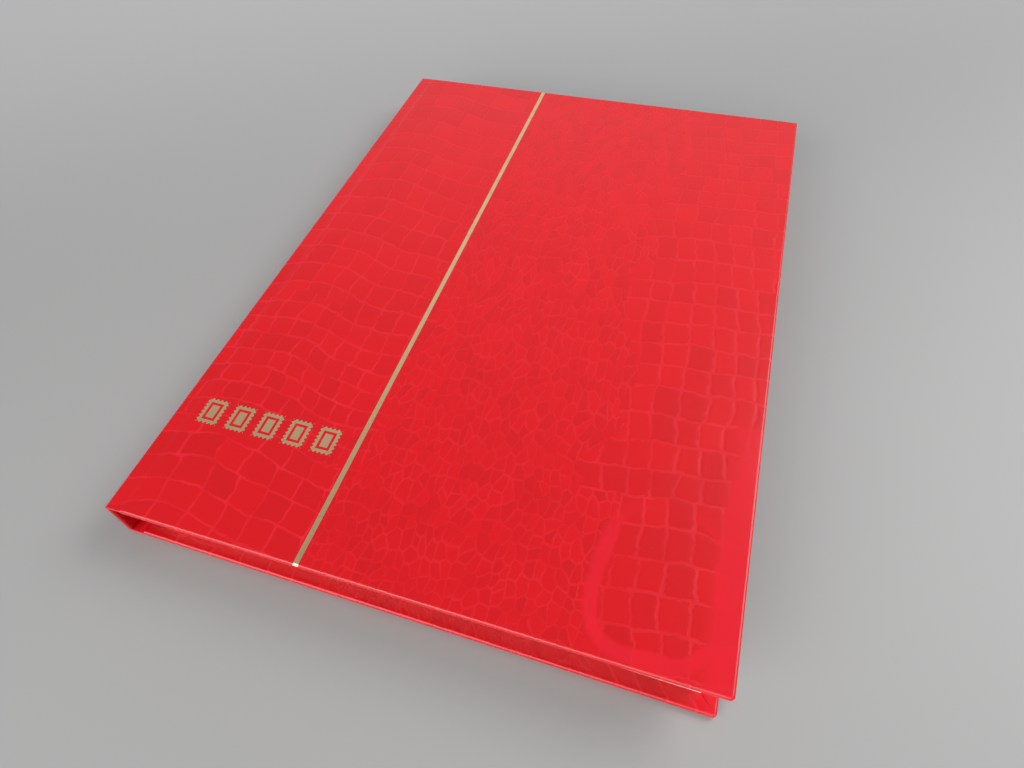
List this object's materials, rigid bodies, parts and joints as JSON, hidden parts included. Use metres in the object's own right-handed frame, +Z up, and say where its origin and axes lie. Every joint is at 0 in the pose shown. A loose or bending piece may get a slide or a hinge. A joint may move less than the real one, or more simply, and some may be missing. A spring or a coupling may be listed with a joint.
{
  "type": "stamp stock album",
  "caption": "Large hardback stock album with embossed red leatherette covers, a foil line and hinged card leaves carrying rows of clear open-topped stamp pockets.",
  "frame": {"origin": "middle of the face that the album rests on", "axes": "+X from the spine to the fore-edge, +Y from tail to head, +Z up through the covers"},
  "size_m": [0.226, 0.31, 0.0272],
  "materials": {
    "leatherette": "glossy, crocodile-embossed",
    "greyboard": "matt",
    "endpaper": "matt",
    "foil": "hot-stamped foil",
    "linen": "fine weave",
    "page_card": "smooth card",
    "glassine": "translucent, glossy"
  },
  "bodies": {
    "back_cover": {"back_board": "greyboard", "back_covering": "leatherette", "back_pastedown": "endpaper"},
    "spine": {"spine_board": "greyboard", "spine_covering": "leatherette", "spine_lining": "linen", "guards": "linen"},
    "front_joint": {"front_joint": "leatherette"},
    "front_cover": {"front_board": "greyboard", "front_covering": "leatherette", "front_pastedown": "endpaper", "foil_line": "foil"},
    "leaf_01": {"leaf_01": "page_card", "leaf_01_hinge": "linen", "leaf_01_pockets": "glassine"},
    "leaf_02": {"leaf_02": "page_card", "leaf_02_hinge": "linen", "leaf_02_pockets": "glassine"},
    "leaf_03": {"leaf_03": "page_card", "leaf_03_hinge": "linen", "leaf_03_pockets": "glassine"},
    "leaf_04": {"leaf_04": "page_card", "leaf_04_hinge": "linen", "leaf_04_pockets": "glassine"},
    "leaf_05": {"leaf_05": "page_card", "leaf_05_hinge": "linen", "leaf_05_pockets": "glassine"},
    "leaf_06": {"leaf_06": "page_card", "leaf_06_hinge": "linen", "leaf_06_pockets": "glassine"},
    "leaf_07": {"leaf_07": "page_card", "leaf_07_hinge": "linen", "leaf_07_pockets": "glassine"},
    "leaf_08": {"leaf_08": "page_card", "leaf_08_hinge": "linen", "leaf_08_pockets": "glassine"},
    "leaf_09": {"leaf_09": "page_card", "leaf_09_hinge": "linen", "leaf_09_pockets": "glassine"},
    "leaf_10": {"leaf_10": "page_card", "leaf_10_hinge": "linen", "leaf_10_pockets": "glassine"},
    "leaf_11": {"leaf_11": "page_card", "leaf_11_hinge": "linen", "leaf_11_pockets": "glassine"},
    "leaf_12": {"leaf_12": "page_card", "leaf_12_hinge": "linen", "leaf_12_pockets": "glassine"},
    "leaf_13": {"leaf_13": "page_card", "leaf_13_hinge": "linen", "leaf_13_pockets": "glassine"},
    "leaf_14": {"leaf_14": "page_card", "leaf_14_hinge": "linen", "leaf_14_pockets": "glassine"},
    "leaf_15": {"leaf_15": "page_card", "leaf_15_hinge": "linen", "leaf_15_pockets": "glassine"},
    "leaf_16": {"leaf_16": "page_card", "leaf_16_hinge": "linen", "leaf_16_pockets": "glassine"}
  },
  "joints": [
    {"name": "album_opening", "type": "hinge", "parent": "back_cover", "child": "spine", "pos_m": [-0.1128, 0, 0.0008], "axis": [0, 1, 0], "range_deg": [-90, 0]},
    {"name": "front_joint_fold", "type": "hinge", "parent": "spine", "child": "front_joint", "pos_m": [-0.1128, 0, 0.0197], "axis": [0, -1, 0], "range_deg": [0, 90]},
    {"name": "front_cover_swing", "type": "hinge", "parent": "front_joint", "child": "front_cover", "pos_m": [-0.10602, 0, 0.0205], "axis": [0, -1, 0], "range_deg": [0, 178]},
    {"name": "leaf_01_turn", "type": "hinge", "parent": "spine", "child": "leaf_01", "pos_m": [-0.1096, 0, 0.01672], "axis": [0, -1, 0], "range_deg": [-90, 90]},
    {"name": "leaf_02_turn", "type": "hinge", "parent": "spine", "child": "leaf_02", "pos_m": [-0.10879, 0, 0.01581], "axis": [0, -1, 0], "range_deg": [-90, 90]},
    {"name": "leaf_03_turn", "type": "hinge", "parent": "spine", "child": "leaf_03", "pos_m": [-0.10798, 0, 0.0149], "axis": [0, -1, 0], "range_deg": [-90, 90]},
    {"name": "leaf_04_turn", "type": "hinge", "parent": "spine", "child": "leaf_04", "pos_m": [-0.10717, 0, 0.01399], "axis": [0, -1, 0], "range_deg": [-90, 90]},
    {"name": "leaf_05_turn", "type": "hinge", "parent": "spine", "child": "leaf_05", "pos_m": [-0.10636, 0, 0.01308], "axis": [0, -1, 0], "range_deg": [-90, 90]},
    {"name": "leaf_06_turn", "type": "hinge", "parent": "spine", "child": "leaf_06", "pos_m": [-0.10555, 0, 0.01217], "axis": [0, -1, 0], "range_deg": [-90, 90]},
    {"name": "leaf_07_turn", "type": "hinge", "parent": "spine", "child": "leaf_07", "pos_m": [-0.10474, 0, 0.01126], "axis": [0, -1, 0], "range_deg": [-90, 90]},
    {"name": "leaf_08_turn", "type": "hinge", "parent": "spine", "child": "leaf_08", "pos_m": [-0.10393, 0, 0.01035], "axis": [0, -1, 0], "range_deg": [-90, 90]},
    {"name": "leaf_09_turn", "type": "hinge", "parent": "spine", "child": "leaf_09", "pos_m": [-0.10393, 0, 0.00944], "axis": [0, -1, 0], "range_deg": [-90, 90]},
    {"name": "leaf_10_turn", "type": "hinge", "parent": "spine", "child": "leaf_10", "pos_m": [-0.10474, 0, 0.00853], "axis": [0, -1, 0], "range_deg": [-90, 90]},
    {"name": "leaf_11_turn", "type": "hinge", "parent": "spine", "child": "leaf_11", "pos_m": [-0.10555, 0, 0.00762], "axis": [0, -1, 0], "range_deg": [-90, 90]},
    {"name": "leaf_12_turn", "type": "hinge", "parent": "spine", "child": "leaf_12", "pos_m": [-0.10636, 0, 0.00671], "axis": [0, -1, 0], "range_deg": [-90, 90]},
    {"name": "leaf_13_turn", "type": "hinge", "parent": "spine", "child": "leaf_13", "pos_m": [-0.10717, 0, 0.0058], "axis": [0, -1, 0], "range_deg": [-90, 90]},
    {"name": "leaf_14_turn", "type": "hinge", "parent": "spine", "child": "leaf_14", "pos_m": [-0.10798, 0, 0.00489], "axis": [0, -1, 0], "range_deg": [-90, 90]},
    {"name": "leaf_15_turn", "type": "hinge", "parent": "spine", "child": "leaf_15", "pos_m": [-0.10879, 0, 0.00398], "axis": [0, -1, 0], "range_deg": [-90, 90]},
    {"name": "leaf_16_turn", "type": "hinge", "parent": "spine", "child": "leaf_16", "pos_m": [-0.1096, 0, 0.00307], "axis": [0, -1, 0], "range_deg": [-90, 90]}
  ],
  "couplings": [
    {"joint": "front_joint_fold", "follows": "album_opening", "ratio": -0.98111},
    {"joint": "leaf_01_turn", "follows": "album_opening", "ratio": -0.98111},
    {"joint": "leaf_02_turn", "follows": "album_opening", "ratio": -0.98111},
    {"joint": "leaf_03_turn", "follows": "album_opening", "ratio": -0.98111},
    {"joint": "leaf_04_turn", "follows": "album_opening", "ratio": -0.98111},
    {"joint": "leaf_05_turn", "follows": "album_opening", "ratio": -0.98111},
    {"joint": "leaf_06_turn", "follows": "album_opening", "ratio": -0.98111},
    {"joint": "leaf_07_turn", "follows": "album_opening", "ratio": -0.98111},
    {"joint": "leaf_08_turn", "follows": "album_opening", "ratio": -0.98111},
    {"joint": "leaf_09_turn", "follows": "album_opening", "ratio": 1},
    {"joint": "leaf_10_turn", "follows": "album_opening", "ratio": 1},
    {"joint": "leaf_11_turn", "follows": "album_opening", "ratio": 1},
    {"joint": "leaf_12_turn", "follows": "album_opening", "ratio": 1},
    {"joint": "leaf_13_turn", "follows": "album_opening", "ratio": 1},
    {"joint": "leaf_14_turn", "follows": "album_opening", "ratio": 1},
    {"joint": "leaf_15_turn", "follows": "album_opening", "ratio": 1},
    {"joint": "leaf_16_turn", "follows": "album_opening", "ratio": 1}
  ]
}
